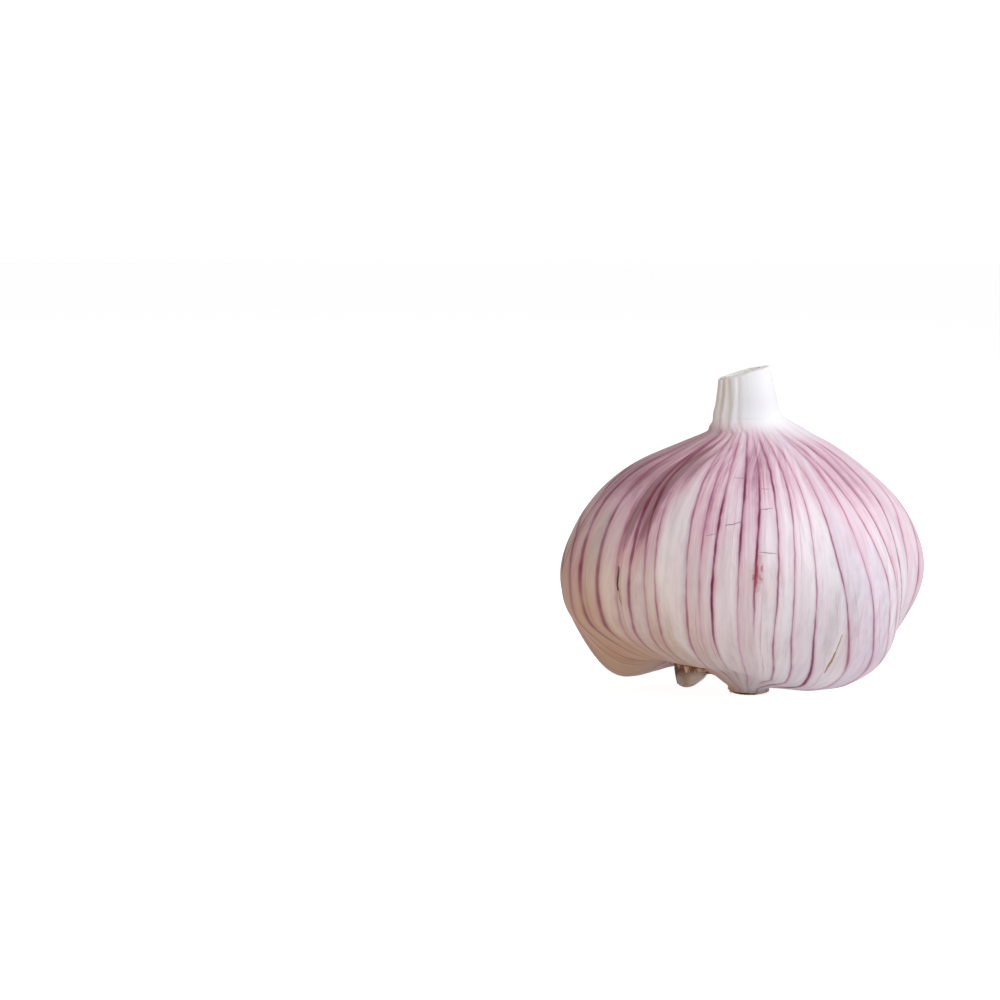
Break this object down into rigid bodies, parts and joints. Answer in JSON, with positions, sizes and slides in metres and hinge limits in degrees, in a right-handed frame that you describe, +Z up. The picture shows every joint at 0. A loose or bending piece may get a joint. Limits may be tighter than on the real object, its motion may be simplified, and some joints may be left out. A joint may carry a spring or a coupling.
{
  "type": "garlic bulb",
  "caption": "Whole garlic bulb in its dry striped skin, with a cut stem stub, a root plate to rest on and the heel of a bare clove.",
  "frame": {"origin": "middle of the root plate's flat underside, on the surface that the bulb stands on", "axes": "+Z up towards the stem, -Y towards the bulb's front, +X to the right seen from the front"},
  "size_m": [0.0622, 0.0619, 0.0566],
  "materials": {
    "striped_skin": "thin dry papery skin, white to pale pink with fine purple veins, satin",
    "dry_stem": "dry wrapped leaf sheaths, white, lightly folded, matte",
    "root_cork": "brown cork, rough and dry",
    "clove_skin": "tight brown clove skin, dull, finely lined"
  },
  "bodies": {
    "root": {"wrapped_bulb": "striped_skin", "stem_stub": "dry_stem", "root_plate": "root_cork", "bare_clove": "clove_skin"}
  },
  "joints": []
}
